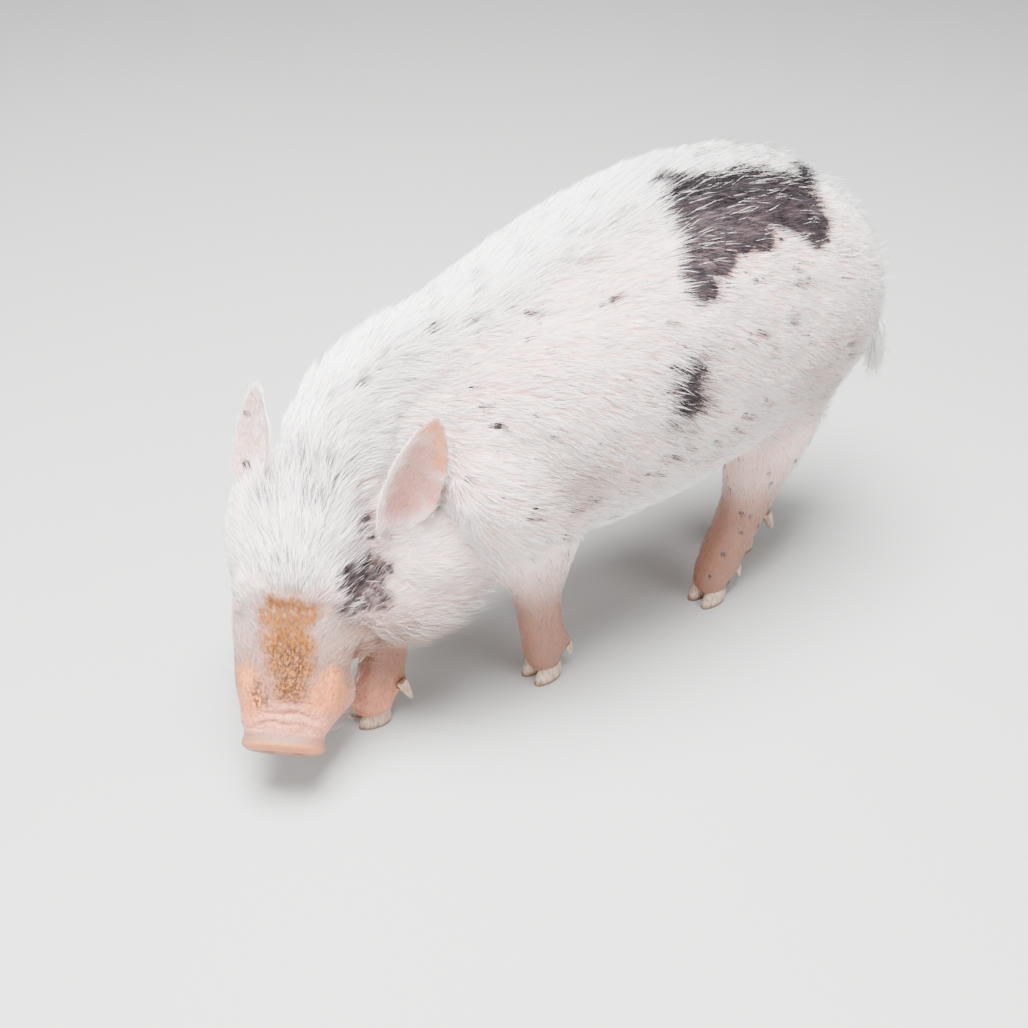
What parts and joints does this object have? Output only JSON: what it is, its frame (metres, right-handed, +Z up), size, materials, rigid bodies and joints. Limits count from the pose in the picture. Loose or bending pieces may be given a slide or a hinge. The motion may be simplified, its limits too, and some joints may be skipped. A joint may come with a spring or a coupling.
{
  "type": "pot-bellied pig",
  "caption": "Young pot-bellied pig, life-size still figure standing with its head lowered to the ground and turned to its left.",
  "frame": {"origin": "middle of the bounding box, on the floor", "axes": "+Z up, the body faces -Y and the animal's left side is +X"},
  "size_m": [0.1772, 0.5338, 0.3581],
  "materials": {
    "pink_skin": "soft pink hide under a short white coat",
    "hoof_horn": "dull pale horn",
    "dark_eye": "wet and glossy"
  },
  "bodies": {
    "root": {"head": "pink_skin", "neck": "pink_skin", "torso": "pink_skin", "tail": "pink_skin", "leg_front_left": "pink_skin", "leg_front_right": "pink_skin", "leg_hind_left": "pink_skin", "leg_hind_right": "pink_skin", "ear_left": "pink_skin", "ear_right": "pink_skin", "eye_left": "dark_eye", "eye_right": "dark_eye", "hoof_front_left_inner": "hoof_horn", "hoof_front_left_outer": "hoof_horn", "hoof_front_right_inner": "hoof_horn", "hoof_front_right_outer": "hoof_horn", "hoof_hind_left_inner": "hoof_horn", "hoof_hind_left_outer": "hoof_horn", "hoof_hind_right_inner": "hoof_horn", "hoof_hind_right_outer": "hoof_horn", "dewclaw_front_left_inner": "hoof_horn", "dewclaw_front_left_outer": "hoof_horn", "dewclaw_front_right_inner": "hoof_horn", "dewclaw_front_right_outer": "hoof_horn", "dewclaw_hind_left_inner": "hoof_horn", "dewclaw_hind_left_outer": "hoof_horn", "dewclaw_hind_right_inner": "hoof_horn", "dewclaw_hind_right_outer": "hoof_horn"}
  },
  "joints": []
}
